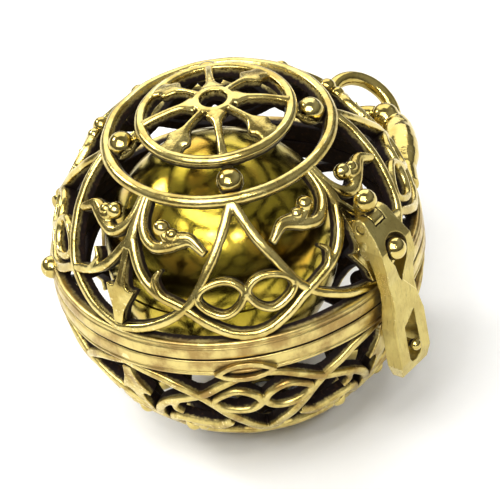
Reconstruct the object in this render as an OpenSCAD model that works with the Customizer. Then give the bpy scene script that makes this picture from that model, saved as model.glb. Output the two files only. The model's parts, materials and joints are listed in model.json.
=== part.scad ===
// Openwork ball-cage locket: two hinged hemispheres of soldered strip work,
// a swinging clasp, a bail loop with a jump ring, and a loose chime ball inside.
// Origin at the centre of the cage, +Z through the pole of the upper half.
// "Az" angles are degrees about Z from -Y towards +X; "polar" angles are
// degrees down from the nearer pole.

/* [Cage] */
// Outer radius of the closed cage
cage_r = 12.5; // [12:0.1:13]
// Depth of the strip work, measured towards the centre
work_depth = 1; // [0.8:0.05:1.2]
// Width of one strip
strip_w = 0.66; // [0.5:0.02:0.8]
// Height of each rim band
rim_h = 1.3; // [1.1:0.05:1.4]
// Gap between the two rim bands when the cage is shut
seam_gap = 0.12; // [0.08:0.01:0.2]

/* [Clasp] */
// Direction of the clasp, in degrees round from the front
clasp_az = 48; // [46:1:50]
// Widest width of the clasp bar
clasp_w = 3.2; // [2.8:0.1:3.4]
// Radius of the keeper ball in the clasp's upper opening
keeper_r = 0.8; // [0.6:0.05:0.85]
// Radius of the catch stud's ball in the clasp's lower slot
stud_r = 0.42; // [0.3:0.02:0.45]
// Radius of the clasp's pivot pin
clasp_pin_r = 0.35; // [0.3:0.01:0.4]

/* [Hinge] */
// Direction of the hinge, in degrees round from the front
hinge_az = 222; // [220:1:228]
// Radius of the hinge pin
hinge_pin_r = 0.45; // [0.4:0.01:0.5]
// Outer radius of the hinge knuckles
knuckle_r = 0.84; // [0.8:0.02:0.92]
// Length of one hinge knuckle
knuckle_l = 1.7; // [1.6:0.1:2.2]

/* [Bail] */
// Distance of the bail loop's straight legs from the centre planes
bail_off = 12; // [11.9:0.05:12.1]
// Bend radius of the bail loop's corner
bail_bend = 2.6; // [2.4:0.1:2.8]
// Radius of the bail loop's bar
bail_bar_r = 0.66; // [0.5:0.02:0.68]
// Radius of the jump ring's wire
ring_wire_r = 0.5; // [0.4:0.02:0.5]
// Radius of the jump ring, to the middle of its wire
ring_r = 2.5; // [2.45:0.01:2.55]

/* [Chime ball] */
// Outer radius of the chime ball
ball_r = 7.85; // [7:0.05:8]
// Wall thickness of the chime ball
ball_wall = 0.35; // [0.3:0.05:0.5]
// Number of tines in the chime
tine_count = 10; // [6:1:12]

/* [Hidden] */
$fn = 64;

brass = "gold";
shade = "darkgoldenrod";
ball_tone = "khaki";
steel = "silver";

inner_r = cage_r - work_depth;
rim_z = seam_gap / 2;
quarters = [0, 90, 180, 270];

// Polar angles of the rings that cross the strip work
hub_hole_polar = 4.3;
hub_polar = 6.6;
wheel_ring_polar = [23, 26.5];
polar_ring_polar = [36.5, 40.5];
granule_polar = 32;
granule_r = 0.95;

// Centre lines of the strips in one eighth of a half cage, as [az, polar]
arch_line = [[0, 39], [6, 49], [12.5, 60], [20, 71.5], [32, 79.5], [45, 83]];
garland_line = [
    [45, 53], [38, 63], [32, 68], [25, 71], [19, 73.8], [13, 77.9], [6.5, 81.2], [0, 82.4]
];
scroll_line = [
    [43.5, 39], [42.5, 46], [39, 51.5], [33, 54.5], [27, 54], [22, 49.5], [17, 50], [13, 54]
];
eight_line = [
    [0.8, 68], [4, 64.6], [9, 64], [14.5, 66], [16.6, 69.5], [13.5, 73], [8, 75], [3, 72.6]
];
thorn_line = [[29, 70], [31, 67], [32, 63.5], [30, 61]];
scroll_bead_at = [[31, 50], [25.5, 51.5]];
dart_line = [[45, 56], [45, 62], [45, 67.5], [45, 70.5], [45, 75], [45, 80]];
dart_width = [0.9, 1, 1.5, 4.2, 2.6, 0.4];

// Half a strip's section, as [share of the width, drop below the outer radius]
strip_section = [
    [-0.5, work_depth], [-0.5, 0.2], [-0.26, 0], [0.26, 0], [0.5, 0.2], [0.5, work_depth]
];

hinge_r = cage_r + knuckle_r + 0.15;
hinge_run = 0.05;
knuckle_pitch = knuckle_l + 0.1;

// Clasp, in the plane of its azimuth, as [distance from Z, height]
clasp_pivot = [12.1, 6.3];
keeper_at = [13.75, 4.5];
stud_at = [14.2, -3.46];
crown_at = [11.85, 7.85];
crown_r = 0.8;
clasp_head_r = 0.72;
lug_half = 0.5;
clasp_run = 0.04;
clasp_side = [
    [11.75, 6.92], [12.58, 6.85], [13.3, 5.9], [13.95, 4.9], [14.15, 3.6], [13.95, 2.2],
    [14.05, 0], [14.12, -4.4], [13.9, -5.4], [13.3, -6.1], [12.95, -5.9],
    [12.86, -5], [12.86, 0.5], [12.9, 2.2], [12.95, 3.4], [12.6, 4.5], [11.6, 5.78]
];

// The jump ring leans against the bail loop
ring_at = [9.79, 12.58, 0];
ring_lean = [40.5, -28];

function on_ball(r, az, polar) =
    r * [sin(polar) * sin(az), -sin(polar) * cos(az), cos(polar)];

function unit(v) = v / norm(v);

// A smooth curve through the points p, with n steps between neighbours
function knot(p, i) = p[min(max(i, 0), len(p) - 1)];
function between(a, b, c, d, t) =
    0.5 * (2 * b + (c - a) * t + (2 * a - 5 * b + 4 * c - d) * t * t
    + (3 * b - a - 3 * c + d) * t * t * t);
function smooth(p, n) = [
    for (i = [0 : len(p) - 2], k = [0 : n - 1])
        between(knot(p, i - 1), knot(p, i), knot(p, i + 1), knot(p, i + 2), k / n),
    p[len(p) - 1]
];
function smooth_loop(p, n) = [
    for (i = [0 : len(p) - 1], k = [0 : n - 1])
        between(p[(i + len(p) - 1) % len(p)], p[i], p[(i + 1) % len(p)],
            p[(i + 2) % len(p)], k / n)
];

function spin(p, az) = [for (q = p) [q[0] + az, q[1]]];
function flip(p) = [for (q = p) [-q[0], q[1]]];

// A strip along points on the ball; closed joins its last point to its first
module strip(line, widths, closed = false) {
    count = len(line);
    ring = len(strip_section);
    out = [for (q = line) on_ball(1, q[0], q[1])];
    ahead = [
        for (i = [0 : count - 1])
            closed ? out[(i + 1) % count] - out[(i + count - 1) % count]
                : out[min(i + 1, count - 1)] - out[max(i - 1, 0)]
    ];
    points = [
        for (i = [0 : count - 1], s = strip_section)
            (cage_r - s[1]) * out[i]
            + s[0] * (widths[i] == undef ? strip_w : widths[i]) * unit(cross(out[i], ahead[i]))
    ];
    spans = closed ? count : count - 1;
    sides = [
        for (i = [0 : spans - 1], j = [0 : ring - 1])
            [
                i * ring + j,
                i * ring + (j + 1) % ring,
                ((i + 1) % count) * ring + (j + 1) % ring,
                ((i + 1) % count) * ring + j
            ]
    ];
    ends = closed ? [] : [
        [for (j = [ring - 1 : -1 : 0]) j],
        [for (j = [0 : ring - 1]) (count - 1) * ring + j]
    ];
    polyhedron(points, concat(sides, ends));
}

// Both mirror images of a line, round all four quarters
module eightfold(line, widths = []) {
    for (az = quarters) {
        strip(spin(line, az), widths);
        strip(spin(flip(line), az), widths);
    }
}

// A band round the ball between two polar angles
module polar_band(polar) {
    rotate_extrude()
        polygon([
            for (q = [[inner_r, 0], [inner_r, 1], [cage_r, 1], [cage_r, 0]])
                q[0] * [sin(polar[q[1]]), cos(polar[q[1]])]
        ]);
}

module half_rim() {
    edge = 0.15;
    rotate_extrude()
        polygon([
            [inner_r, rim_z], [cage_r - edge, rim_z], [cage_r + 0.04, rim_z + edge],
            [cage_r + 0.04, rim_z + rim_h - 0.3], [cage_r - 0.1, rim_z + rim_h],
            [inner_r - 0.08, rim_z + rim_h]
        ]);
}

// Half outlines of the two kinds of spoke, as [across, out from the hub]
shoulder_spoke = [
    [0.34, 1.2], [0.7, 1.4], [0.78, 1.66], [0.6, 2], [0.45, 2.4], [0.38, 3], [0.36, 4], [0.36, 5]
];
fishtail_spoke = [
    [0.28, 1.2], [0.26, 2.6], [0.4, 3.05], [0.78, 3.4], [1.06, 3.75], [1.12, 4.1], [1, 4.5], [1, 5]
];

// A spoke's half outline with its mirror image
module spoke_plan(half) {
    last = len(half) - 1;
    polygon(concat(half, [for (i = [last : -1 : 0]) [-half[i][0], half[i][1]]]));
}

module half_spokes() {
    intersection() {
        difference() {
            sphere(r = cage_r);
            sphere(r = inner_r);
        }
        linear_extrude(cage_r + 1)
            difference() {
                union() {
                    circle(r = cage_r * sin(hub_polar));
                    for (az = quarters) {
                        rotate([0, 0, az])
                            spoke_plan(shoulder_spoke);
                        rotate([0, 0, az + 45])
                            spoke_plan(fishtail_spoke);
                    }
                }
                circle(r = cage_r * sin(hub_hole_polar));
            }
    }
}

// Balls between the polar ring and the wheel, with a drop of solder at each ring
module half_granules() {
    for (az = quarters) {
        translate(on_ball(cage_r - 0.7, az, granule_polar))
            sphere(r = granule_r);
        for (polar = [wheel_ring_polar[1] + 0.4, polar_ring_polar[0] - 0.4])
            translate(on_ball(cage_r - 0.75, az, polar))
                sphere(r = 0.4);
    }
}

module half_scroll_beads() {
    for (az = quarters, side = [-1, 1], bead = scroll_bead_at)
        translate(on_ball(cage_r - 0.3, az + side * bead[0], bead[1]))
            sphere(r = 0.42);
}

module half_arches() {
    eightfold(smooth(arch_line, 3));
}

module half_garlands() {
    eightfold(smooth(garland_line, 3));
    eightfold(smooth(thorn_line, 2), [0.75, 0.7, 0.6, 0.5, 0.35, 0.25, 0.1]);
    for (az = quarters)
        strip([for (polar = [39, 43.5, 48, 52, 55]) [45 + az, polar]], []);
}

module half_scrolls() {
    eightfold(smooth(scroll_line, 2));
}

module half_eights() {
    for (az = quarters, side = [-1, 1])
        strip([for (q = smooth_loop(eight_line, 2)) [side * q[0] + az, q[1]]], [], true);
}

module half_darts() {
    path = smooth(dart_line, 2);
    widths = smooth(dart_width, 2);
    for (az = quarters)
        strip(spin(path, az), widths * 0.55);
}

module lower_half() {
    mirror([0, 0, 1]) children();
}

// Turns +X to point along an azimuth
module facing(az) {
    rotate([0, 0, az - 90]) children();
}

module upper_rim_band() {
    color(brass) half_rim();
}

module upper_polar_ring() {
    color(brass) polar_band(polar_ring_polar);
}

module upper_wheel_ring() {
    color(brass) polar_band(wheel_ring_polar);
}

module upper_wheel_spokes() {
    color(shade) half_spokes();
}

module upper_arches() {
    color(brass) half_arches();
}

module upper_garlands() {
    color(shade) half_garlands();
}

module upper_eights() {
    color(brass) half_eights();
}

module upper_scrolls() {
    color(brass) half_scrolls();
}

module upper_darts() {
    color(shade) half_darts();
}

module upper_granules() {
    color(ball_tone) half_granules();
}

module upper_scroll_beads() {
    color(ball_tone) half_scroll_beads();
}

module lower_rim_band() {
    color(brass) lower_half() half_rim();
}

module lower_polar_ring() {
    color(brass) lower_half() polar_band(polar_ring_polar);
}

module lower_wheel_ring() {
    color(brass) lower_half() polar_band(wheel_ring_polar);
}

module lower_wheel_spokes() {
    color(shade) lower_half() half_spokes();
}

module lower_arches() {
    color(brass) lower_half() half_arches();
}

module lower_garlands() {
    color(shade) lower_half() half_garlands();
}

module lower_eights() {
    color(brass) lower_half() half_eights();
}

module lower_scrolls() {
    color(brass) lower_half() half_scrolls();
}

module lower_darts() {
    color(shade) lower_half() half_darts();
}

module lower_granules() {
    color(ball_tone) lower_half() half_granules();
}

module lower_scroll_beads() {
    color(ball_tone) lower_half() half_scroll_beads();
}

// A ball on the upper rim, on the left
module rim_bead() {
    color(ball_tone)
        translate(on_ball(cage_r, -89, 85.6))
            sphere(r = 0.8);
}

// A lens-shaped eye soldered on the lower rim, at the front
module rim_eyelet() {
    bow = 3.4;
    color(shade)
        facing(-4)
            difference() {
                intersection() {
                    for_lens(bow, 0.75);
                    translate([cage_r - 0.4, -3, -2.4])
                        cube([0.75, 6, 2.2]);
                }
                for_lens(bow, 0.4);
            }
}

// Two crossing rods along X that leave a lens of the given half height
module for_lens(bow, half) {
    intersection_for (side = [-1, 1])
        translate([0, 0, side * (bow - half) - 0.95])
            rotate([0, 90, 0])
                cylinder(r = bow, h = cage_r + 2);
}

// Hinge knuckles, each with a leaf that reaches its own rim band
module knuckle(along, up) {
    leaf_z = up > 0 ? rim_z + 0.1 : -rim_z - 1.1;
    facing(hinge_az)
        difference() {
            union() {
                translate([hinge_r, along - knuckle_l / 2, 0])
                    rotate([-90, 0, 0])
                        cylinder(r = knuckle_r, h = knuckle_l);
                translate([cage_r - 0.5, along - knuckle_l / 2, leaf_z])
                    cube([hinge_r - cage_r + 0.5, knuckle_l, 1]);
            }
            translate([hinge_r, along - knuckle_l, 0])
                rotate([-90, 0, 0])
                    cylinder(r = hinge_pin_r + (up > 0 ? hinge_run : 0), h = 2 * knuckle_l);
        }
}

module lower_hinge_knuckles() {
    color(shade)
        for (side = [-1, 1])
            knuckle(side * knuckle_pitch, -1);
}

module upper_hinge_knuckle() {
    color(brass) knuckle(0, 1);
}

module hinge_pin() {
    half = knuckle_pitch + knuckle_l / 2;
    color(steel)
        facing(hinge_az)
            translate([hinge_r, 0, 0])
                rotate([90, 0, 0]) {
                    cylinder(r = hinge_pin_r, h = 2 * half, center = true);
                    for (side = [-1, 1])
                        translate([0, 0, side * (half + 0.15)])
                            cylinder(r = hinge_pin_r + 0.2, h = 0.3, center = true);
                }
}

// A cylinder across the clasp's plane, centred on a point of that plane
module across(at, r, half) {
    translate([at[0], 0, at[1]])
        rotate([90, 0, 0])
            cylinder(r = r, h = 2 * half, center = true);
}

module clasp_lug() {
    color(brass)
        facing(clasp_az) {
            difference() {
                union() {
                    across(clasp_pivot, clasp_head_r, lug_half);
                    translate([clasp_pivot[0], 0, clasp_pivot[1]])
                        rotate([0, atan2(clasp_pivot[0], clasp_pivot[1]) - 90, 0])
                            translate([-2, -lug_half, -0.45])
                                cube([2, 2 * lug_half, 0.9]);
                    translate([clasp_pivot[0] - 0.95, -lug_half, clasp_pivot[1]])
                        cube([0.9, 2 * lug_half, 1.3]);
                }
                across(clasp_pivot, clasp_pin_r + clasp_run, 1);
            }
            translate([crown_at[0], 0, crown_at[1]])
                sphere(r = crown_r);
        }
}

module keeper_ball() {
    lean = atan2(keeper_at[0], keeper_at[1]);
    color(ball_tone)
        facing(clasp_az) {
            translate([keeper_at[0], 0, keeper_at[1]])
                sphere(r = keeper_r);
            rotate([0, lean, 0])
                translate([0, 0, cage_r - 0.5])
                    cylinder(r = 0.36, h = 1.9);
        }
}

module catch_stud() {
    color(ball_tone)
        facing(clasp_az) {
            translate([stud_at[0], 0, stud_at[1]])
                sphere(r = stud_r);
            translate([inner_r + 0.2, 0, stud_at[1]])
                rotate([0, 90, 0])
                    cylinder(r = 0.28, h = stud_at[0] - inner_r - 0.2);
        }
}

// The clasp seen from outside, as [across, height]
module clasp_front() {
    half = clasp_w / 2;
    head = 1.2;
    waist = 1.2;
    outline = [
        [head, 7.2], [head + 0.15, 6], [half, 4.9], [half, 3.4], [waist, 1.2],
        [waist + 0.05, 0.2], [half, -1.4], [half, -4.6], [half - 0.5, -6.2]
    ];
    polygon(concat(outline, [for (i = [8 : -1 : 0]) [-outline[i][0], outline[i][1]]]));
}

module clasp_bar() {
    tilt = atan2(keeper_at[0] - clasp_pivot[0], clasp_pivot[1] - keeper_at[1]);
    slot_half = 0.62;
    slot_low = -4.15;
    slot_high = -1.7;
    color(brass)
        facing(clasp_az)
            difference() {
                union() {
                    intersection() {
                        rotate([90, 0, 0])
                            linear_extrude(clasp_w + 1, center = true)
                                polygon(clasp_side);
                        rotate([90, 0, 90])
                            linear_extrude(cage_r + 4)
                                clasp_front();
                    }
                    across(clasp_pivot, clasp_head_r, 1.2);
                }
                across(clasp_pivot, 0.82, lug_half + 0.06);
                across(clasp_pivot, clasp_pin_r, 3);
                translate([clasp_pivot[0] - 2, -lug_half - 0.06, clasp_pivot[1] - 0.82])
                    cube([2, 2 * lug_half + 0.12, 2.2]);
                translate([keeper_at[0], 0, keeper_at[1]])
                    rotate([0, -tilt, 0])
                        rotate([0, 90, 0])
                            linear_extrude(6, center = true) {
                                circle(r = 1);
                                polygon([[0.4, 0.92], [2.1, 0], [0.4, -0.92], [0, 0]]);
                            }
                translate([inner_r, 0, 0])
                    rotate([90, 0, 90])
                        linear_extrude(5) {
                            translate([0, slot_low])
                                circle(r = slot_half);
                            polygon([
                                [-slot_half, slot_low], [slot_half, slot_low],
                                [slot_half, slot_high + 0.9], [-slot_half, slot_high]
                            ]);
                        }
            }
}

module clasp_pin() {
    color(steel)
        facing(clasp_az)
            across(clasp_pivot, clasp_pin_r, 1.2);
}

// A square-cornered loop of round bar in the plane of the rim, with a ball at
// its corner and a swelling along its front leg
module bail_loop() {
    corner = bail_off - bail_bend;
    leg_end = 3.4;
    tip = bail_off - 0.8;
    swelling = [[0, -3.2], [0.7, -2.4], [1, -1.2], [1.08, 0], [1, 1.2], [0.75, 2.2], [0, 3]];
    color(brass)
        difference() {
            union() {
                translate([corner, corner, 0])
                    rotate_extrude(angle = 90)
                        translate([bail_bend, 0])
                            circle(r = bail_bar_r);
                translate([bail_off, leg_end, 0])
                    rotate([-90, 0, 0])
                        cylinder(r = bail_bar_r, h = corner - leg_end);
                translate([leg_end, bail_off, 0])
                    rotate([0, 90, 0])
                        cylinder(r = bail_bar_r, h = corner - leg_end);
                translate([tip, tip, 0.1])
                    sphere(r = 1);
                translate([bail_off, 7.8, 0])
                    rotate([-90, 0, 0])
                        rotate_extrude()
                            polygon(swelling);
            }
            translate([0, 0, -seam_gap / 2])
                cylinder(r = cage_r + 0.15, h = 2);
            translate([0, 0, -2])
                cylinder(r = inner_r + 0.1, h = 2);
        }
}

module jump_ring() {
    color(brass)
        translate(ring_at)
            rotate([0, ring_lean[0], ring_lean[1]])
                rotate_extrude()
                    translate([ring_r, 0])
                        circle(r = ring_wire_r);
}

// The chime ball lies against the lower back of the cage
ball_at = [-1, 2.2, -1.3];

module ball_cup(up) {
    color(ball_tone)
        translate(ball_at)
            difference() {
                sphere(r = ball_r);
                sphere(r = ball_r - ball_wall);
                translate([-10, -10, up > 0 ? -20 : 0])
                    cube(20);
            }
}

module ball_cup_lower() {
    ball_cup(-1);
}

module ball_cup_upper() {
    ball_cup(1);
}

plate_z = -6.2;
tine_ring = 2.4;

// A disc let into the floor of the ball, with the tines standing on it
module chime_plate() {
    color(shade)
        translate(ball_at)
            intersection() {
                translate([0, 0, -ball_r])
                    cylinder(r = 3.4, h = ball_r + plate_z + 0.5);
                sphere(r = ball_r - ball_wall);
            }
}

module chime_tines() {
    color(steel)
        translate(ball_at)
            for (i = [0 : tine_count - 1])
                rotate([0, 0, i * 360 / tine_count])
                    translate([tine_ring, 0, plate_z + 0.5])
                        cylinder(r = 0.22, h = 4 + 2 * i / tine_count);
}

module chime_pellet() {
    color(steel)
        translate(ball_at + [0, 0, plate_z + 1.75])
            sphere(r = 1.2);
}

lower_rim_band();
lower_polar_ring();
lower_wheel_ring();
lower_wheel_spokes();
lower_arches();
lower_garlands();
lower_eights();
lower_scrolls();
lower_darts();
lower_granules();
lower_scroll_beads();
catch_stud();
bail_loop();
rim_eyelet();
lower_hinge_knuckles();
hinge_pin();
upper_rim_band();
upper_polar_ring();
upper_wheel_ring();
upper_wheel_spokes();
upper_arches();
upper_garlands();
upper_eights();
upper_scrolls();
upper_darts();
upper_granules();
upper_scroll_beads();
rim_bead();
clasp_lug();
keeper_ball();
upper_hinge_knuckle();
clasp_bar();
clasp_pin();
jump_ring();
ball_cup_lower();
ball_cup_upper();
chime_plate();
chime_tines();
chime_pellet();
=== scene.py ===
"""Looks of the openwork ball-cage locket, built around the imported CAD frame.

Lengths are in millimetres until a mesh is made, and "az" and "polar" are degrees: az runs
about Z from -Y towards +X, and polar runs down from the nearer pole of the cage.
"""

import json
import math

import bpy
import numpy as np
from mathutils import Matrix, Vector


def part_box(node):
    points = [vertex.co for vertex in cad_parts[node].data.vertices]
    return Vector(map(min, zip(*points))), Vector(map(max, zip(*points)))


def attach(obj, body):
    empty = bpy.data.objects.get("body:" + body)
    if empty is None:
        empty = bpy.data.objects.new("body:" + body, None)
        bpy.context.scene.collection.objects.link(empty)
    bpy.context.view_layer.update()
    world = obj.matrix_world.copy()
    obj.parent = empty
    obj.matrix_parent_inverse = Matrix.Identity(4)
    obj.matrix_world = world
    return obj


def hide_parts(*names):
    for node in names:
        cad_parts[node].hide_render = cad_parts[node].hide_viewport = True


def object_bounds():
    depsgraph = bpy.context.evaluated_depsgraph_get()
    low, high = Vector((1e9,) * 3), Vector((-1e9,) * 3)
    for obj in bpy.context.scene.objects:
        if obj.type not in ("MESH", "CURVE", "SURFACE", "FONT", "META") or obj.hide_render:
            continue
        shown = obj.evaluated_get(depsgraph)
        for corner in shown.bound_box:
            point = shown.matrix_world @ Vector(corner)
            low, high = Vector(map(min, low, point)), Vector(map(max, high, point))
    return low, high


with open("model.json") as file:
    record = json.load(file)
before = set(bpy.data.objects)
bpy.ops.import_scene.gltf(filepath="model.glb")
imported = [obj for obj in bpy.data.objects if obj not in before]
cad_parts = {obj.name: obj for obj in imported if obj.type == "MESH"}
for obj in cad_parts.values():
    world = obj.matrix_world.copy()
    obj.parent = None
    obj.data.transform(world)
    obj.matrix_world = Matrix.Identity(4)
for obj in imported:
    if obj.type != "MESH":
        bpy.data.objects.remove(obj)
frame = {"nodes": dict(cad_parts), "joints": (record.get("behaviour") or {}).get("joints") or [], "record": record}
cad_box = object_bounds()

MM = 0.001

JOINTS = {joint["name"]: joint for joint in frame["joints"]}
MOUNTS = {mount["name"]: mount for mount in frame["record"]["mounts"]}


def corners(node):
    """Lowest and highest corner of a CAD node, in millimetres."""
    return tuple(np.array(corner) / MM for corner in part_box(node))


# The rim bands stand a little proud of the strip work
RIM_PROUD = 0.04
RIM_LOW, RIM_HIGH = corners("upper_rim_band")
CAGE_R = RIM_HIGH[0] - RIM_PROUD
WORK_DEPTH = 1.0
INNER_R = CAGE_R - WORK_DEPTH

QUARTERS = (0, 90, 180, 270)
STRIP_W = 0.64
STEP = 0.11

# Centre lines of the strips in one eighth of a half cage, as (az, polar)
ARCH = ((0, 38.5), (6, 49), (12.5, 60), (20, 71.5), (32, 79.5), (45, 83.5))
GARLAND = ((45, 53), (38, 63), (32, 68), (25, 71), (19, 73.8), (13, 77.9), (6.5, 81.3),
           (0, 82.6), (-4, 82.3))
THORN = ((26, 71), (29.5, 69), (31.5, 66), (32, 63.5), (30, 61))
STEM = ((45, 38.5), (45, 43.5), (45, 48), (45, 52), (45, 57))
SCROLL = ((43.5, 38.5), (42.5, 46), (39.5, 51.2), (34.5, 54),
          (29, 53.2), (24, 51.8), (19, 51.2), (13.2, 55))
SCROLL_ARM = ((32, 48.6), (29.5, 50.6), (26, 51), (22.5, 50), (18.5, 50.3), (13.2, 54.5))
EIGHT = ((0.8, 68), (4, 64.6), (9, 64), (14.5, 66), (16.6, 69.5), (13.5, 73), (8, 75), (3, 72.6))

# Widths of the tapered strips, one for each point of their line
THORN_WIDTHS = (0.5, 0.5, 0.42, 0.34, 0.2)
STEM_WIDTHS = (0.5, 0.55, 0.62, 0.8, 0.6)
SCROLL_WIDTHS = (0.6, 0.62, 0.74, 0.9, 0.92, 0.8, 0.66, 0.5)
SCROLL_ARM_WIDTHS = (0.55, 0.78, 0.9, 0.84, 0.66, 0.42)
EIGHT_W = 0.56

# One edge of a dart, as (az from its middle, polar)
DART = ((1.4, 55), (1.3, 60), (1.5, 65), (2.3, 68.6), (4, 69.7),
        (5.7, 69.3), (5.2, 71), (3.6, 74), (2.3, 77), (1.5, 81.5))

# Half outlines of the wheel's spokes, as (half width, distance from the hub)
SHOULDER = ((0.34, 1.1), (0.68, 1.38), (0.74, 1.6), (0.5, 1.92),
            (0.33, 2.3), (0.28, 3), (0.28, 4), (0.36, 5.1))
FISHTAIL = ((0.28, 1.1), (0.21, 1.9), (0.21, 2.6), (0.32, 3.1), (0.6, 3.45),
            (0.86, 3.75), (0.9, 4.05), (0.72, 4.4), (0.9, 5.1))

# Rings round the pole, between two polar angles
HUB_RING = (4.3, 6.6)
WHEEL_RING = (23, 26.5)
POLAR_RING = (36.5, 40.4)
RING_EDGE = {"crown": 0.2, "fillet": 0.26, "wobble": 0.03}

# Granules as (az, polar, depth of their centre), with drops of solder where they meet the rings
GRANULES = ((1.5, 32, 0.8), (90, 32, 0.72), (180, 32, 0.95), (270, 33.5, 0.75))
GRANULE_R = 0.96
SOLDER_R = 0.42
SOLDER_SINK = 0.95

# Beads of one scroll as (az, polar, radius)
SCROLL_BEADS = ((32.2, 47.8, 0.6), (26.9, 49.4, 0.48))
BEAD_SINK = 0.34


# ---------------------------------------------------------------- curves and shapes

def on_ball(radius, az, polar):
    """Points at a distance from the centre, along directions given as az and polar."""
    a, p = np.radians(az), np.radians(polar)
    across = radius * np.sin(p)
    return np.stack([across * np.sin(a), -across * np.cos(a), radius * np.cos(p)], -1)


def curve(points, steps=16, closed=False):
    """A Catmull-Rom curve through the points, with any number of columns."""
    p = np.array(points, float)
    count = len(p)
    spans = count if closed else count - 1
    t = np.linspace(0, 1, steps, endpoint=False)[:, None]
    parts = []
    for i in range(spans):
        if closed:
            a, b, c, d = (p[(i + k) % count] for k in (-1, 0, 1, 2))
        else:
            a, b, c, d = (p[min(max(i + k, 0), count - 1)] for k in (-1, 0, 1, 2))
        parts.append(0.5 * (2 * b + (c - a) * t + (2 * a - 5 * b + 4 * c - d) * t ** 2
                            + (3 * b - a - 3 * c + d) * t ** 3))
    if not closed:
        parts.append(p[-1:])
    return np.concatenate(parts)


def even(points, values, step=STEP, closed=False):
    """Points and their values, resampled to even steps along the curve."""
    if closed:
        points = np.concatenate([points, points[:1]])
        values = np.concatenate([values, values[:1]])
    run = np.concatenate([[0], np.cumsum(np.linalg.norm(np.diff(points, axis=0), axis=1))])
    count = max(int(round(run[-1] / step)), 4) + 1
    at = np.linspace(0, run[-1], count)
    out = np.stack([np.interp(at, run, points[:, k]) for k in range(3)], -1)
    along = np.interp(at, run, values)
    return (out[:-1], along[:-1]) if closed else (out, along)


def ripple(points, wavelength, seed):
    """Smooth noise between about -1 and 1, the same in every run."""
    rng = np.random.default_rng(1000 + seed)
    waves = rng.normal(size=(9, 3))
    waves *= (2 * math.pi / wavelength) / np.linalg.norm(waves, axis=1, keepdims=True)
    waves *= rng.uniform(0.6, 1.5, (9, 1))
    return np.sin(points @ waves.T + rng.uniform(0, 2 * math.pi, 9)).sum(1) / 4


def unit(v):
    return v / np.linalg.norm(v, axis=-1, keepdims=True)


def tube_faces(rows, ring, closed):
    """Quads between rows of ring points each, with fans over open ends."""
    faces = []
    for i in range(rows if closed else rows - 1):
        j = (i + 1) % rows
        for k in range(ring):
            m = (k + 1) % ring
            faces.append((i * ring + k, i * ring + m, j * ring + m, j * ring + k))
    if not closed:
        faces.append(tuple(range(ring - 1, -1, -1)))
        faces.append(tuple((rows - 1) * ring + k for k in range(ring)))
    return faces


def strip(line, width=STRIP_W, closed=False, depth=WORK_DEPTH, crown=0.17, rise=0.0, seed=1):
    """A deep strip with a rounded crown along (az, polar) points; width is one or one per point."""
    widths = np.full(len(line), width) if np.isscalar(width) else np.array(width, float)
    dense = curve(np.column_stack([np.array(line, float), widths]), closed=closed)
    points, width_at = even(on_ball(CAGE_R, dense[:, 0], dense[:, 1]), dense[:, 2], closed=closed)
    out = unit(points)
    if closed:
        ahead = np.roll(points, -1, 0) - np.roll(points, 1, 0)
    else:
        ahead = np.gradient(points, axis=0)
    side = unit(np.cross(out, ahead))
    width_at = width_at * (1 + 0.05 * ripple(points, 2.3, seed))
    shift = 0.025 * ripple(points, 3.1, seed + 50)
    lift = rise - 0.03 + 0.03 * ripple(points, 2.7, seed + 90)
    angles = np.linspace(0, math.pi, 11)
    across = np.concatenate([0.5 * np.cos(angles), [-0.46, 0.46]])
    drop = np.concatenate([crown * np.abs(np.cos(angles)) ** 3, [depth, depth]])
    verts = (
        (CAGE_R + lift)[:, None, None] * out[:, None]
        - drop[None, :, None] * out[:, None]
        + (across[None] * width_at[:, None] + shift[:, None])[:, :, None] * side[:, None]
    )
    return verts.reshape(-1, 3), tube_faces(len(points), len(across), closed)


def wire(points, radius, closed=False, seed=1):
    """A round bar through points in space."""
    dense = curve(np.column_stack([points, np.broadcast_to(radius, len(points))]), closed=closed)
    path, r = even(dense[:, :3], dense[:, 3], closed=closed)
    ahead = unit(np.roll(path, -1, 0) - np.roll(path, 1, 0) if closed else np.gradient(path, axis=0))
    up = unit(np.cross(ahead, np.array([0.31, 0.2, 0.93])))
    side = np.cross(ahead, up)
    angles = np.linspace(0, 2 * math.pi, 20, endpoint=False)
    r = r * (1 + 0.01 * ripple(path, 2.0, seed))
    verts = path[:, None] + r[:, None, None] * (
        np.cos(angles)[None, :, None] * up[:, None] + np.sin(angles)[None, :, None] * side[:, None]
    )
    return verts.reshape(-1, 3), tube_faces(len(path), len(angles), closed)


def lathe(profile, steps=240, wobble=0.0, seed=1):
    """A closed profile of (radius, height) turned about Z."""
    profile = np.array(profile, float)
    angles = np.linspace(0, 2 * math.pi, steps, endpoint=False)
    verts = np.stack([
        profile[None, :, 0] * np.cos(angles)[:, None],
        profile[None, :, 0] * np.sin(angles)[:, None],
        np.broadcast_to(profile[None, :, 1], (steps, len(profile))),
    ], -1).reshape(-1, 3)
    if wobble:
        out = unit(verts)
        verts = verts + out * (wobble * ripple(verts, 3.3, seed))[:, None]
    return verts, tube_faces(steps, len(profile), True)


def rounded(points, radius, arc=5):
    """A closed polygon with each corner cut back and rounded."""
    p = np.array(points, float)
    out = []
    for i in range(len(p)):
        before, here, after = p[i - 1], p[i], p[(i + 1) % len(p)]
        a, b = before - here, after - here
        cut = min(radius, 0.45 * np.linalg.norm(a), 0.45 * np.linalg.norm(b))
        start, end = here + a / np.linalg.norm(a) * cut, here + b / np.linalg.norm(b) * cut
        for t in np.linspace(0, 1, arc):
            out.append((1 - t) ** 2 * start + 2 * t * (1 - t) * here + t ** 2 * end)
    return np.array(out)


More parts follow.
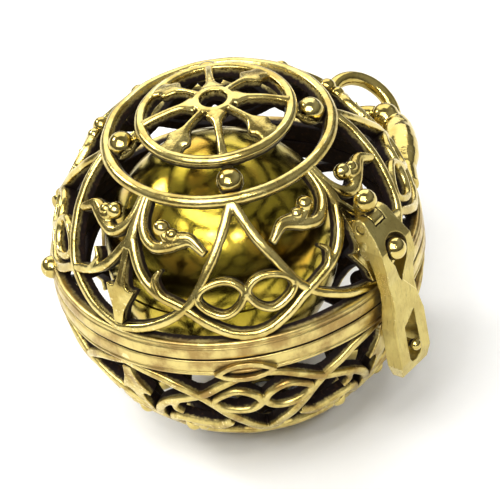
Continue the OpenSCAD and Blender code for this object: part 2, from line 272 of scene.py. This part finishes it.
def ball_band(polar, proud=0.0, depth=WORK_DEPTH, crown=0.16, fillet=0.14, wobble=0.02, seed=1):
    """A band with a crowned face round the cage, between two polar angles."""
    share = np.linspace(0, 1, 7)
    top = polar[0] + (polar[1] - polar[0]) * share
    radius = CAGE_R + proud - crown * (2 * share - 1) ** 2
    face = np.stack([radius * np.sin(np.radians(top)), radius * np.cos(np.radians(top))], -1)
    inner = np.radians(np.array([polar[1], polar[0]]))
    back = (CAGE_R - depth) * np.stack([np.sin(inner), np.cos(inner)], -1)
    return lathe(rounded(np.concatenate([face, back]), fillet), wobble=wobble, seed=seed)


def globe(centre, radius, seed=1, rough=0.03, stretch=(1, 1, 1)):
    """A ball with the slight unevenness of a melted granule."""
    rows, cols = 20, 32
    polar = np.linspace(0, 180, rows + 1)[1:-1]
    az = np.linspace(0, 360, cols, endpoint=False)
    grid = on_ball(1, np.tile(az, len(polar)), np.repeat(polar, cols))
    points = np.concatenate([grid, [[0, 0, 1], [0, 0, -1]]])
    points = points * (1 + rough * ripple(points, 1.8, seed))[:, None] * radius * np.array(stretch)
    faces = [
        (i * cols + k, (i + 1) * cols + k, (i + 1) * cols + (k + 1) % cols, i * cols + (k + 1) % cols)
        for i in range(len(polar) - 1) for k in range(cols)
    ]
    north, south, last = len(grid), len(grid) + 1, (len(polar) - 1) * cols
    faces += [(north, k, (k + 1) % cols) for k in range(cols)]
    faces += [(south, last + (k + 1) % cols, last + k) for k in range(cols)]
    return points + np.array(centre), faces


def plate(outline, depth=WORK_DEPTH, rise=0.0):
    """A flat-faced piece over a closed outline of (az, polar) points."""
    outline = np.array(outline, float)
    count = len(outline)
    top = on_ball(CAGE_R + rise, outline[:, 0], outline[:, 1])
    low = on_ball(CAGE_R - depth, outline[:, 0], outline[:, 1])
    centre_top = unit(top.mean(0)) * (CAGE_R + rise + 0.02)
    centre_low = unit(low.mean(0)) * (CAGE_R - depth)
    faces = [(i, (i + 1) % count, count + (i + 1) % count, count + i) for i in range(count)]
    faces += [((i + 1) % count, i, 2 * count) for i in range(count)]
    faces += [(count + i, count + (i + 1) % count, 2 * count + 1) for i in range(count)]
    return np.concatenate([top, low, [centre_top, centre_low]]), faces


def joined(shapes):
    """Several (points, faces) shapes as one."""
    verts, faces, start = [], [], 0
    for points, polygons in shapes:
        verts.append(points)
        faces += [tuple(start + k for k in face) for face in polygons]
        start += len(points)
    return np.concatenate(verts), faces


def eightfold(line):
    """A line and its mirror image, in all four quarters."""
    return [[(side * az + turn, polar) for az, polar in line] for turn in QUARTERS for side in (1, -1)]


def mirrored(shape):
    """The shape below the plane of the rim."""
    points, faces = shape
    return points * np.array([1, 1, -1]), [face[::-1] for face in faces]


def cad_copy(node):
    """A CAD node's own shape, as a start for a softer one."""
    mesh = frame["nodes"][node].data
    points = np.empty(len(mesh.vertices) * 3, np.float32)
    mesh.vertices.foreach_get("co", points)
    return points.reshape(-1, 3).astype(float) / MM, [tuple(face.vertices) for face in mesh.polygons]


def placed(shape, origin, axis):
    """A shape made about Z, turned so that Z lies along an axis and moved to an origin."""
    z = unit(np.array(axis, float))
    x = unit(np.cross([0.0, 0.3, 1.0] if abs(z[2]) < 0.9 else [1.0, 0.0, 0.0], z))
    turn = np.stack([x, np.cross(z, x), z])
    return shape[0] @ turn + np.array(origin, float), shape[1]


# ---------------------------------------------------------------- objects

def fused(shape, voxel, soften):
    """One skin over shapes that overlap, with soft inner corners, as a casting has."""
    mesh = bpy.data.meshes.new("rough")
    mesh.from_pydata(shape[0].tolist(), [], shape[1])
    rough = bpy.data.objects.new("rough", mesh)
    bpy.context.scene.collection.objects.link(rough)
    skin = rough.modifiers.new("skin", "REMESH")
    skin.mode = "VOXEL"
    skin.voxel_size = voxel
    smooth = rough.modifiers.new("smooth", "SMOOTH")
    smooth.factor = 0.5
    smooth.iterations = soften
    done = bpy.data.meshes.new_from_object(rough.evaluated_get(bpy.context.evaluated_depsgraph_get()))
    bpy.data.objects.remove(rough)
    points = np.empty(len(done.vertices) * 3, np.float32)
    done.vertices.foreach_get("co", points)
    faces = [tuple(face.vertices) for face in done.polygons]
    bpy.data.meshes.remove(done)
    return points.reshape(-1, 3).astype(float), faces


def piece(name, body, shape, material, nodes, slot, voxel=None, soften=3, sharp=50):
    """An object of the locket, riding on a body and standing for CAD nodes."""
    if voxel:
        shape = fused(shape, voxel, soften)
    mesh = bpy.data.meshes.new(name)
    mesh.from_pydata((shape[0] * MM).tolist(), [], shape[1])
    mesh.validate()
    mesh.shade_smooth()
    mesh.set_sharp_from_angle(angle=math.radians(sharp))
    mesh.materials.append(material)
    made = bpy.data.objects.new(name, mesh)
    bpy.context.scene.collection.objects.link(made)
    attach(made, body)
    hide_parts(*nodes)
    return made


# ---------------------------------------------------------------- materials

class Graph:
    """A material's nodes, made by short calls."""

    def __init__(self, name):
        self.material = bpy.data.materials.new(name)
        self.material.use_nodes = True
        self.tree = self.material.node_tree
        self.tree.nodes.clear()

    def node(self, kind, settings=None, **inputs):
        made = self.tree.nodes.new("ShaderNode" + kind)
        for key, value in (settings or {}).items():
            setattr(made, key, value)
        for key, value in inputs.items():
            socket = made.inputs[int(key[1:])] if key[0] == "_" else made.inputs[key.replace("_", " ")]
            if isinstance(value, bpy.types.NodeSocket):
                self.tree.links.new(value, socket)
            else:
                socket.default_value = value
        return made

    def math(self, operation, a, b=0.0, clamp=False):
        return self.node("Math", {"operation": operation, "use_clamp": clamp}, _0=a, _1=b).outputs[0]

    def ramp(self, value, low, high, to_low=0.0, to_high=1.0):
        return self.node("MapRange", {"interpolation_type": "SMOOTHSTEP"}, Value=value, From_Min=low,
                         From_Max=high, To_Min=to_low, To_Max=to_high).outputs[0]

    def mix(self, share, a, b):
        made = self.node("Mix", {"data_type": "RGBA"}, _0=share)
        for index, value in ((6, a), (7, b)):
            if isinstance(value, bpy.types.NodeSocket):
                self.tree.links.new(value, made.inputs[index])
            else:
                made.inputs[index].default_value = (*value, 1)
        return made.outputs[2]

    def blend(self, share, a, b):
        """A number part way between two others."""
        return self.node("Mix", {"data_type": "FLOAT"}, _0=share, _2=a, _3=b).outputs[0]

    def noise(self, at, scale, detail=3.0, rough=0.55):
        return self.node("TexNoise", Vector=at, Scale=scale, Detail=detail, Roughness=rough).outputs[0]

    def millimetres(self, stretch=(1, 1, 1)):
        """Places on the piece, in millimetres of its own body."""
        at = self.node("TexCoord").outputs["Object"]
        scale = tuple(s / MM for s in stretch)
        return self.node("VectorMath", {"operation": "MULTIPLY"}, _0=at, _1=scale).outputs[0]


# Near-black of the painted shade and the oxide in the cage's creases, depths and inward faces
DARK = (0.018, 0.011, 0.010)
DARK_WARM = (0.060, 0.030, 0.016)
BROWN = (0.33, 0.21, 0.07)
# Pale brass of the lightened edges: partly rubbed wear, partly painted highlight
WEAR_HIGHLIGHT = (0.86, 0.75, 0.40)
BRUSH_LINES = (7, 7, 1.2)


def inside_shade_and_oxide(g, at, speckle, sunk):
    """How dark the cage is made, partly oxide and partly painted shade, for its depth below the outer face and for
    facing inwards.
    """
    away = g.node("VectorMath", {"operation": "LENGTH"}, _0=at).outputs["Value"]
    depth = g.math("SUBTRACT", CAGE_R, away)
    to_body = {"vector_type": "NORMAL", "convert_from": "WORLD", "convert_to": "OBJECT"}
    normal = g.node("VectorTransform", to_body, _0=g.node("NewGeometry").outputs["Normal"]).outputs[0]
    out = g.node("VectorMath", {"operation": "NORMALIZE"}, _0=at).outputs[0]
    facing = g.node("VectorMath", {"operation": "DOT_PRODUCT"}, _0=out, _1=normal).outputs["Value"]
    ragged = g.math("MULTIPLY", g.math("SUBTRACT", speckle, 0.5), 0.5)
    deep_in = g.ramp(g.math("ADD", depth, ragged), *sunk)
    inward = g.ramp(facing, -0.1, -0.5)
    return g.math("MAXIMUM", deep_in, inward)


def brass(name, colour, deep, roughness, sunk=(0.28, 0.62), patina=0.35, pitting=0.35, brushed=0.0,
          crease=0.0005):
    """Polished brass, darkened in its creases by ambient occlusion and, on the cage, down the sides and on faces
    turned inwards: partly oxide, partly painted shade. Its edges are lightened: partly rubbed wear, partly painted
    highlight.

    The sides start to darken at the first depth in sunk and are black at the second, in
    millimetres. Noise scales are in cells per millimetre, and crease is a distance in metres, the reach of the
    occlusion darkening.
    """
    g = Graph(name)
    at = g.millimetres()
    cloud = g.noise(at, 0.55, 4)
    speckle = g.noise(at, 3.2, 5, 0.65)
    fine = g.noise(at, 14, 4, 0.6)

    # Painted shade from ambient occlusion in creases, mixed with oxide; on the cage also darker with depth and on
    # inward faces
    shut = g.node("AmbientOcclusion", {"samples": 6}, Distance=crease).outputs["AO"]
    shade_and_oxide = g.ramp(g.math("ADD", shut, g.math("MULTIPLY", speckle, 0.22)), 0.86, 0.52)
    if sunk:
        shade_and_oxide = g.math("MAXIMUM", shade_and_oxide, inside_shade_and_oxide(g, at, speckle, sunk))
    free_of_shade_and_oxide = g.math("SUBTRACT", 1.0, shade_and_oxide)

    spread = g.math("ADD", cloud, g.math("MULTIPLY", speckle, 0.35))
    tarnish = g.ramp(spread, 0.62, 0.86, 0.0, patina)
    bright = g.mix(g.ramp(cloud, 0.35, 0.65), colour, deep)
    bright = g.mix(tarnish, bright, BROWN)
    nicks = g.ramp(g.noise(at, 2.1, 7, 0.82), 0.66, 0.74, 0.0, 0.75 * patina + 0.2)
    bright = g.mix(nicks, bright, DARK_WARM)
    dark = g.mix(g.ramp(speckle, 0.5, 0.75), DARK, DARK_WARM)
    base = g.mix(shade_and_oxide, bright, dark)
    # Edges lightened by pointiness: partly rubbed wear, partly painted highlight
    wear_and_highlight = g.ramp(g.node("NewGeometry").outputs["Pointiness"], 0.55, 0.63, 0.0, 0.8)
    base = g.mix(g.math("MULTIPLY", wear_and_highlight, free_of_shade_and_oxide), base, WEAR_HIGHLIGHT)

    gloss = g.math("ADD", roughness, g.math("MULTIPLY", g.ramp(speckle, 0.4, 0.75), 0.10))
    gloss = g.blend(shade_and_oxide, gloss, 0.5)
    waves = g.math("MULTIPLY", g.noise(at, 1.7, 3), 0.9)
    dents = g.math("ADD", waves, g.math("MULTIPLY", fine, 0.22 * pitting))
    if brushed:
        lines = g.noise(g.millimetres(BRUSH_LINES), 1.0, 4, 0.7)
        dents = g.math("ADD", dents, g.math("MULTIPLY", lines, brushed))
        gloss = g.math("ADD", gloss, g.math("MULTIPLY", lines, 0.12))
        base = g.mix(g.ramp(lines, 0.5, 0.75, 0.0, 0.5 * brushed), base, DARK_WARM)

    bump = g.node("Bump", Strength=0.55, Distance=0.06 * MM, Height=dents).outputs[0]
    shader = g.node("BsdfPrincipled", Base_Color=base, Roughness=gloss, Normal=bump,
                    Metallic=g.blend(shade_and_oxide, 1.0, 0.2), Specular_IOR_Level=g.blend(shade_and_oxide, 0.5, 0.15))
    g.node("OutputMaterial", Surface=shader.outputs[0])
    return g.material


BALL_OLIVE = (0.42, 0.335, 0.04)
BALL_GOLD = (0.60, 0.46, 0.07)
BALL_STAIN = (0.30, 0.20, 0.03)
BALL_FLUSH = (0.66, 0.40, 0.05)
TURNED_LINES = (7, 7, 0.7)


def ball_finish():
    """Bright gold-toned brass, lightly planished, with fine turning lines and warm stains."""
    g = Graph("ball_brass")
    at = g.millimetres()
    patch = g.noise(at, 0.26, 0.0)
    lines = g.noise(g.millimetres(TURNED_LINES), 1.0, 3, 0.6)
    cloud = g.noise(at, 0.4, 3)
    colour = g.mix(g.ramp(cloud, 0.3, 0.7), BALL_OLIVE, BALL_GOLD)
    stain = g.ramp(g.noise(at, 0.8, 3, 0.6), 0.54, 0.72, 0.0, 0.5)
    colour = g.mix(stain, colour, BALL_STAIN)
    flush = g.ramp(g.noise(at, 0.33, 2), 0.5, 0.66, 0.0, 0.75)
    colour = g.mix(flush, colour, BALL_FLUSH)
    height = g.math("ADD", patch, g.math("MULTIPLY", lines, 0.06))
    bump = g.node("Bump", Strength=0.5, Distance=0.2 * MM, Height=height).outputs[0]
    gloss = g.ramp(g.noise(at, 1.5, 2), 0.35, 0.7, 0.14, 0.24)
    shader = g.node("BsdfPrincipled", Base_Color=colour, Roughness=gloss, Normal=bump, Metallic=1.0)
    g.node("OutputMaterial", Surface=shader.outputs[0])
    return g.material


STEEL_CLEAN = (0.55, 0.55, 0.54)
STEEL_STAINED = (0.34, 0.31, 0.28)
DRAWN_LINES = (9, 9, 0.8)


def steel_finish():
    """Spring steel of the chime, drawn and slightly stained."""
    g = Graph("chime_steel")
    at = g.millimetres()
    lines = g.noise(g.millimetres(DRAWN_LINES), 1.0, 3, 0.6)
    colour = g.mix(g.ramp(g.noise(at, 1.2, 4), 0.4, 0.75), STEEL_CLEAN, STEEL_STAINED)
    bump = g.node("Bump", Strength=0.3, Distance=0.03 * MM, Height=lines).outputs[0]
    shader = g.node("BsdfPrincipled", Base_Color=colour, Roughness=g.ramp(lines, 0.3, 0.7, 0.2, 0.38),
                    Normal=bump, Metallic=1.0)
    g.node("OutputMaterial", Surface=shader.outputs[0])
    return g.material


PALE = (0.69, 0.57, 0.225)
PALE_DEEP = (0.54, 0.43, 0.135)
RIM_DEEP = (0.50, 0.38, 0.15)
SMOOTH_PALE = (0.62, 0.50, 0.18)
SMOOTH_DEEP = (0.50, 0.39, 0.11)
CLASP_PALE = (0.63, 0.53, 0.205)
CLASP_DEEP = (0.55, 0.45, 0.16)

STRIPS = {
    "upper": brass("strip_brass", PALE, PALE_DEEP, 0.2),
    # The lower half's strips are darker: their sides darken from a shallower depth, with more brown tarnish and
    # brushing lines
    "lower": brass("strip_brass_darker", PALE, PALE_DEEP, 0.24, sunk=(0.2, 0.5), patina=0.85, brushed=0.25),
}
RIM = brass("rim_brass", PALE, RIM_DEEP, 0.24, patina=0.65, pitting=1.0, brushed=0.2)
GRANULE = brass("granule_brass", PALE, PALE_DEEP, 0.09, sunk=(0.9, 1.3), patina=0.2)
HINGE = brass("hinge_brass", PALE, PALE_DEEP, 0.2, sunk=None, patina=0.5)
SMOOTH = brass("smooth_brass", SMOOTH_PALE, SMOOTH_DEEP, 0.12, sunk=None, patina=0.15, pitting=0.1)
CLASP = brass("clasp_brass", CLASP_PALE, CLASP_DEEP, 0.25, sunk=None, patina=0.15, pitting=1.0,
              brushed=0.7, crease=0.0004)
PIN = brass("pin_brass", PALE, PALE_DEEP, 0.18, sunk=None, patina=0.3)
BALL = ball_finish()
STEEL = steel_finish()


# ---------------------------------------------------------------- the two half cages

def rim_shape():
    """The band at the mouth of a half cage: a flat face, a groove, and a roll along its top edge."""
    low, high = RIM_LOW[2], RIM_HIGH[2]
    profile = [
        (INNER_R, low), (CAGE_R - 0.02, low), (CAGE_R + 0.03, low + 0.3), (CAGE_R, high - 0.5),
        (CAGE_R - 0.1, high - 0.37), (CAGE_R, high - 0.26), (CAGE_R - 0.06, high - 0.08),
        (CAGE_R - 0.2, high), (INNER_R - 0.05, high),
    ]
    return lathe(rounded(profile, 0.12), steps=360, wobble=0.025, seed=4)


def spoke_points(half, turn):
    """A spoke along a straight line out from the hub, as (az, polar) points and widths."""
    line = [(turn, math.degrees(math.asin(reach / CAGE_R))) for _, reach in half]
    return line, [2 * width for width, _ in half]


def spokes_shape():
    shapes = [ball_band(HUB_RING, proud=-0.02, crown=0.04, fillet=0.1)]
    for turn in QUARTERS:
        for half, at, seed in ((SHOULDER, turn, turn), (FISHTAIL, turn + 45, turn + 3)):
            line, width = spoke_points(half, at)
            shapes.append(strip(line, width, depth=0.7, crown=0.19, seed=seed))
    return joined(shapes)


def arches_shape():
    return joined([strip(line, seed=i + 20) for i, line in enumerate(eightfold(ARCH))])


def garlands_shape():
    shapes = [strip(line, seed=i) for i, line in enumerate(eightfold(GARLAND))]
    shapes += [strip(line, THORN_WIDTHS, crown=0.14, seed=i) for i, line in enumerate(eightfold(THORN))]
    shapes += [strip([(az + turn, polar) for az, polar in STEM], STEM_WIDTHS, seed=turn)
               for turn in QUARTERS]
    return joined(shapes)


def scrolls_shape():
    shapes = [strip(line, SCROLL_WIDTHS, crown=0.32, seed=i) for i, line in enumerate(eightfold(SCROLL))]
    shapes += [strip(line, SCROLL_ARM_WIDTHS, crown=0.36, rise=0.05, depth=0.8, seed=i + 9)
               for i, line in enumerate(eightfold(SCROLL_ARM))]
    shapes.append(scroll_beads_shape(0.93))
    return joined(shapes)


def eights_shape():
    return joined([
        strip([(side * az + turn, polar) for az, polar in EIGHT], EIGHT_W, closed=True, crown=0.26,
              rise=0.04, seed=turn + side)
        for turn in QUARTERS for side in (1, -1)
    ])


def darts_shape():
    half = curve(DART, steps=5)
    outline = np.concatenate([half, half[::-1] * np.array([-1, 1])])
    return joined([plate(outline + np.array([turn + 45, 0]), rise=-0.02) for turn in QUARTERS])


def granules_shape():
    shapes = []
    for turn, polar, sink in GRANULES:
        shapes.append(globe(on_ball(CAGE_R - sink, turn, polar), GRANULE_R, seed=int(turn) + 1))
        for edge in (WHEEL_RING[1] + 0.4, POLAR_RING[0] - 0.4):
            shapes.append(globe(on_ball(CAGE_R - SOLDER_SINK, turn, edge), SOLDER_R, seed=int(turn) + 2))
    return joined(shapes)


def scroll_beads_shape(size=1.0):
    """The beads; the scrolls hold slightly smaller copies, so that beads and strips join."""
    return joined([
        globe(on_ball(CAGE_R - BEAD_SINK, turn + side * az, polar), size * radius, seed=turn + int(az))
        for turn in QUARTERS for side in (1, -1) for az, polar, radius in SCROLL_BEADS
    ])


def half_cage(half):
    """The eleven pieces that both halves share."""
    flip = mirrored if half == "lower" else (lambda shape: shape)
    body = half + "_half"
    strips = STRIPS[half]

    def part(name, shape, material, slot, **how):
        piece(f"{half}_{name}_cast", body, flip(shape), material, [f"{half}_{name}"], slot, **how)

    part("rim_band", rim_shape(), RIM, "rim_brass")
    part("polar_ring", ball_band(POLAR_RING, proud=0.08, seed=7, **RING_EDGE), strips, "strip_brass")
    part("wheel_ring", ball_band(WHEEL_RING, proud=0.04, seed=8, **RING_EDGE), strips, "strip_brass")
    part("wheel_spokes", spokes_shape(), strips, "strip_brass", voxel=0.06)
    part("arches", arches_shape(), strips, "strip_brass", voxel=0.07)
    part("garlands", garlands_shape(), strips, "strip_brass", voxel=0.07)
    part("eights", eights_shape(), strips, "strip_brass", voxel=0.065)
    part("scrolls", scrolls_shape(), strips, "strip_brass", voxel=0.065)
    part("darts", darts_shape(), strips, "strip_brass", voxel=0.065)
    part("granules", granules_shape(), GRANULE, "granule_brass", voxel=0.06, soften=6)
    part("scroll_beads", scroll_beads_shape(), GRANULE, "granule_brass")


# ---------------------------------------------------------------- fittings

# Radius of the first and last point of a turned profile, just clear of the axis
ON_AXIS = 0.01


def joint_place(name):
    """A joint's point in millimetres, and its axis."""
    joint = JOINTS[name]
    return np.array(joint["pos_m"]) / MM, np.array(joint["axis"])


def stub(half, radius, edge):
    """A short round bar about Z with softened edges."""
    profile = [(ON_AXIS, -half), (radius, -half), (radius, half), (ON_AXIS, half)]
    return lathe(rounded(profile, edge), steps=60)


def headed_pin(half, radius, head, head_h):
    """A pin about Z with domed heads."""
    top = [(radius, half), (head, half), (head, half + head_h * 0.5), (head * 0.6, half + head_h),
           (ON_AXIS, half + head_h * 1.15)]
    bottom = [(r, -z) for r, z in reversed(top)]
    return lathe(rounded(bottom + top, 0.08), steps=40)


def round_ended(shape, axis):
    """The clasp bar with the corners of its lower end rounded off, along the hinge axis of the clasp."""
    points, faces = shape
    across = points @ axis
    foot = points[:, 2].min()
    half_width, round_from, round_depth, corner_lift = 1.6, -4.4, 2.1, 0.55
    share = np.clip((round_from - points[:, 2]) / round_depth, 0, 0.86)
    limit = half_width * np.sqrt(1 - share ** 2)
    moved = np.clip(across, -limit, limit) - across
    lifted = np.maximum(foot + corner_lift * (across / limit) ** 2 - points[:, 2], 0)
    return points + moved[:, None] * axis + lifted[:, None] * np.array([0, 0, 1]), faces


def clasp_shape(pivot, axis):
    """The CAD bar with a swelling on each flank of its head."""
    radius, apart, outward, low = 0.48, 1.2, 0.25, -1.55
    middle = np.array([*outward * unit(pivot[:2]), low])
    swellings = [globe(pivot + side * apart * axis + middle, radius, seed=3, stretch=(1, 1, 1.9))
                 for side in (1, -1)]
    return round_ended(fused(joined([cad_copy("clasp_bar"), *swellings]), voxel=0.045, soften=7), axis)


def fittings():
    smooth_bits = (
        ("upper_hinge_knuckle", "upper_half", HINGE, "hinge_brass"),
        ("lower_hinge_knuckles", "lower_half", HINGE, "hinge_brass"),
        ("rim_eyelet", "lower_half", RIM, "strip_brass"),
        ("keeper_ball", "upper_half", GRANULE, "granule_brass"),
        ("catch_stud", "lower_half", GRANULE, "granule_brass"),
        ("rim_bead", "upper_half", GRANULE, "granule_brass"),
    )
    for node, body, material, slot in smooth_bits:
        piece(node + "_cast", body, cad_copy(node), material, [node], slot, voxel=0.05, soften=4)

    pivot, axis = joint_place("clasp_swing")
    piece("clasp_bar_cast", "clasp", clasp_shape(pivot, axis), CLASP, ["clasp_bar"], "clasp_brass")
    knuckle = placed(stub(half=0.5, radius=0.72, edge=0.03), pivot, axis)
    lug = joined([cad_copy("clasp_lug"), knuckle])
    piece("clasp_lug_cast", "upper_half", lug, GRANULE, ["clasp_lug"], "granule_brass", voxel=0.04, soften=2)
    pin = placed(stub(half=1.2, radius=0.35, edge=0.06), pivot, axis)
    piece("clasp_pin_turned", "clasp", pin, CLASP, ["clasp_pin"], "pin_brass")

    place, axis = joint_place("lid_hinge")
    pin = placed(headed_pin(half=3.1, radius=0.45, head=0.65, head_h=0.3), place, axis)
    piece("hinge_pin_turned", "lower_half", pin, PIN, ["hinge_pin"], "pin_brass")


def bail_and_ring():
    flank_at = (11.85, 8.3, 0)
    flank = globe(flank_at, 1.0, seed=13, rough=0.02, stretch=(1.2, 3.2, 0.95))
    loop = joined([cad_copy("bail_loop"), flank])
    piece("bail_loop_cast", "lower_half", loop, SMOOTH, ["bail_loop"], "smooth_brass", voxel=0.06, soften=12)

    eye = MOUNTS["jump_ring_eye"]
    centre, axis = np.array(eye["pos_m"]) / MM, np.array(eye["axis"])
    wire_r = 0.5
    mean_r = eye["dims"]["r_mm"] + wire_r
    turns = np.linspace(0, 2 * math.pi, 48, endpoint=False)
    flat = np.stack([mean_r * np.cos(turns), mean_r * np.sin(turns), 0 * turns], -1)
    ring = placed(wire(flat, wire_r - 0.01, closed=True, seed=31), centre, axis)
    piece("jump_ring_wire", "jump_ring", ring, SMOOTH, ["jump_ring"], "smooth_brass")


# ---------------------------------------------------------------- the chime ball

def ball_cup(radius, seed):
    """The upper cup: a thin shell with a softened rim at the seam, slightly dented."""
    wall, seam = 0.35, 0.02
    arc = np.radians(np.linspace(0.2, 90, 60))
    outer = np.stack([radius * np.sin(arc), radius * np.cos(arc)], -1)
    outer[-1] = (radius - 0.05, seam)
    outer[-2] = (radius - 0.005, seam + 0.08)
    inner = np.stack([(radius - wall) * np.sin(arc[::-1]), (radius - wall) * np.cos(arc[::-1])], -1)
    inner[0, 1] = seam
    points, faces = lathe(np.concatenate([outer, inner]), steps=200)
    dents = 0.025 * ripple(points, 4.5, seed)
    return points * (1 + dents / radius)[:, None], faces


def chime_ball():
    low, high = corners("ball_cup_lower")
    centre = np.array([*(low + high)[:2] / 2, high[2]])
    radius = (high - low)[0] / 2
    for half, seed in (("upper", 41), ("lower", 39)):
        cup = ball_cup(radius, seed)
        points, faces = cup if half == "upper" else mirrored(cup)
        node = "ball_cup_" + half
        piece(node + "_planished", "chime_ball", (points + centre, faces), BALL, [node], "ball_brass",
              sharp=30)
    for node in ("chime_plate", "chime_tines"):
        shape = cad_copy(node)
        piece(node + "_steel", "chime_ball", shape, STEEL, [node], "chime_steel", voxel=0.06, soften=2)
    low, high = corners("chime_pellet")
    pellet = globe((low + high) / 2, (high - low)[2] / 2, seed=77, rough=0.012)
    piece("chime_pellet_steel", "pellet", pellet, STEEL, ["chime_pellet"], "chime_steel")


# ---------------------------------------------------------------- studio

# Lamps as (name, place, size, power), in metres and watts, all aimed at the cage's centre
LAMPS = (
    ("key", (-0.12, -0.22, 0.36), 0.34, 1.7),
    ("side", (-0.32, 0.20, 0.27), 0.11, 0.7),
    ("back", (0.0, 0.38, 0.30), 0.5, 1.35),
)
# Small round lamps near the camera, for the bright points on the granules
BULBS = ((-0.06, -0.26, 0.30), (0.05, -0.24, 0.33), (0.0, -0.30, 0.22), (0.10, -0.29, 0.26))
BULB_SIZE = 0.022
BULB_POWER = 0.10
BULB_COLOUR = (1, 0.98, 0.94)

PAPER = ((0.93, 0.93, 0.925), (0.95, 0.95, 0.945))
FLOOR_REACH = 3.0
FLOOR_GAP = 0.00003

# Brightness of the surroundings as (share of the way from nadir to zenith, level)
SKY = ((0.0, 0.25), (0.25, 0.6), (0.5, 1.1), (0.72, 1.1), (1.0, 0.6))
SKY_POWER = 0.4


def lamp(name, place, size, power, colour=(1, 1, 1), shape="SQUARE"):
    light = bpy.data.lights.new(name, "AREA")
    light.shape = shape
    light.size = size
    light.energy = power
    light.color = colour
    made = bpy.data.objects.new(name, light)
    made.location = place
    made.rotation_mode = "QUATERNION"
    made.rotation_quaternion = made.location.to_track_quat("Z", "Y")
    made.visible_camera = False
    bpy.context.scene.collection.objects.link(made)


def paper_floor():
    level = cad_box[0].z - FLOOR_GAP
    edge = ((-1, -1), (1, -1), (1, 1), (-1, 1))
    mesh = bpy.data.meshes.new("floor")
    mesh.from_pydata([(x * FLOOR_REACH, y * FLOOR_REACH, level) for x, y in edge], [], [(0, 1, 2, 3)])
    g = Graph("floor_paper")
    grain = g.noise(g.node("TexCoord").outputs["Object"], 900.0, 3)
    shader = g.node("BsdfPrincipled", Base_Color=g.mix(grain, *PAPER), Roughness=0.9)
    g.node("OutputMaterial", Surface=shader.outputs[0])
    mesh.materials.append(g.material)
    sheet = bpy.data.objects.new("floor", mesh)
    bpy.context.scene.collection.objects.link(sheet)


def surroundings():
    world = bpy.data.worlds.new("studio")
    bpy.context.scene.world = world
    world.use_nodes = True
    tree = world.node_tree
    tree.nodes.clear()
    at = tree.nodes.new("ShaderNodeTexCoord")
    split = tree.nodes.new("ShaderNodeSeparateXYZ")
    ramp = tree.nodes.new("ShaderNodeValToRGB")
    shade = tree.nodes.new("ShaderNodeBackground")
    out = tree.nodes.new("ShaderNodeOutputWorld")
    tree.links.new(at.outputs["Generated"], split.inputs[0])
    tree.links.new(split.outputs["Z"], ramp.inputs[0])
    tree.links.new(ramp.outputs[0], shade.inputs[0])
    tree.links.new(shade.outputs[0], out.inputs[0])
    stops = ramp.color_ramp.elements
    for i, (place, level) in enumerate(SKY):
        stop = stops[i] if i < 2 else stops.new(place)
        stop.position = place
        stop.color = (level, level, level * 0.98, 1)
    shade.inputs["Strength"].default_value = SKY_POWER


def studio():
    paper_floor()
    surroundings()
    for name, place, size, power in LAMPS:
        lamp(name, place, size, power)
    for i, place in enumerate(BULBS):
        lamp(f"bulb_{i}", place, BULB_SIZE, BULB_POWER, BULB_COLOUR, shape="DISK")


def camera():
    """The camera looks down at 37 degrees and is rolled, from far off with a long lens."""
    elevation, roll = math.radians(37), math.radians(9.6)
    frame_w, shift = 33.42 * MM, (0.802 * MM, 0.033 * MM)
    sensor, lens = 36, 1400
    distance = frame_w * lens / sensor
    back = np.array([0, -math.cos(elevation), math.sin(elevation)])
    level_up = np.array([0, math.sin(elevation), math.cos(elevation)])
    level_right = np.array([1.0, 0, 0])
    right = math.cos(roll) * level_right - math.sin(roll) * level_up
    up = math.sin(roll) * level_right + math.cos(roll) * level_up
    data = bpy.data.cameras.new("camera")
    data.sensor_width = sensor
    data.lens = lens
    data.clip_start, data.clip_end = 0.01, 10
    made = bpy.data.objects.new("camera", data)
    place = back * distance + right * shift[0] + up * shift[1]
    turn = np.eye(4)
    turn[:3, 0], turn[:3, 1], turn[:3, 2], turn[:3, 3] = right, up, back, place
    made.matrix_world = Matrix(turn.tolist())
    bpy.context.scene.collection.objects.link(made)
    bpy.context.scene.camera = made


half_cage("lower")
half_cage("upper")
fittings()
bail_and_ring()
chime_ball()
studio()
camera()
view = bpy.context.scene.view_settings
view.view_transform = "Standard"
view.gamma = 0.9
